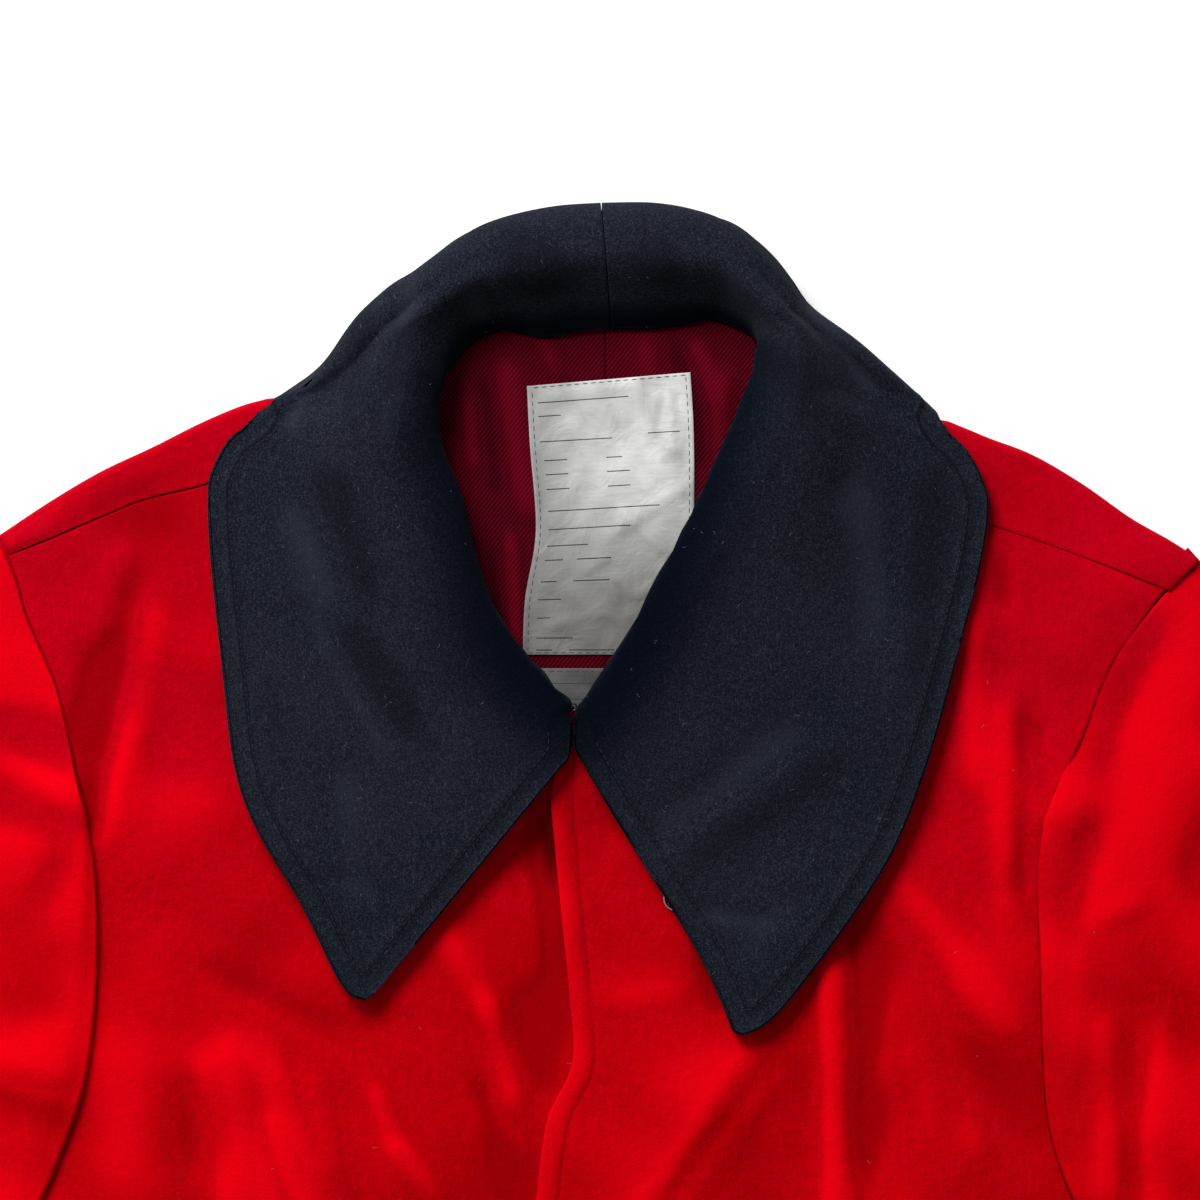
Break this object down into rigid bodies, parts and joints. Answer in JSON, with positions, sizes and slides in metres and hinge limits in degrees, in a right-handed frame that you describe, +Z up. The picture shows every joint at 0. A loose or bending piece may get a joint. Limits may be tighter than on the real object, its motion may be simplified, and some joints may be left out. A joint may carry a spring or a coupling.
{
  "type": "military cloak",
  "caption": "Sleeved wool cloak lying flat, face up, with a very large turned-down felt collar, lapped fronts and a lined, labelled back neck.",
  "frame": {"origin": "middle of the bounding box, on the surface that the cloak lies on", "axes": "+X towards the wearer's left, +Y from the hem to the neck, +Z up from the surface, out of the cloak's front"},
  "size_m": [1.17, 1.3564, 0.043],
  "materials": {
    "red_melton": "matte, felted scarlet wool",
    "navy_felt": "matte, felted navy wool",
    "lining_twill": "dark red diagonal twill with a low sheen",
    "label_satin": "white satin tape",
    "white_wire": "smooth white metal wire",
    "black_wire": "black enamelled wire"
  },
  "bodies": {
    "root": {"back": "red_melton", "front_right": "red_melton", "front_left": "red_melton", "sleeve_right": "red_melton", "sleeve_left": "red_melton", "collar_right": "navy_felt", "collar_left": "navy_felt", "neck_lining": "lining_twill", "label_main": "label_satin", "label_care": "label_satin", "wire_ring": "white_wire", "neck_eye": "black_wire", "neck_hook": "black_wire"}
  },
  "joints": []
}
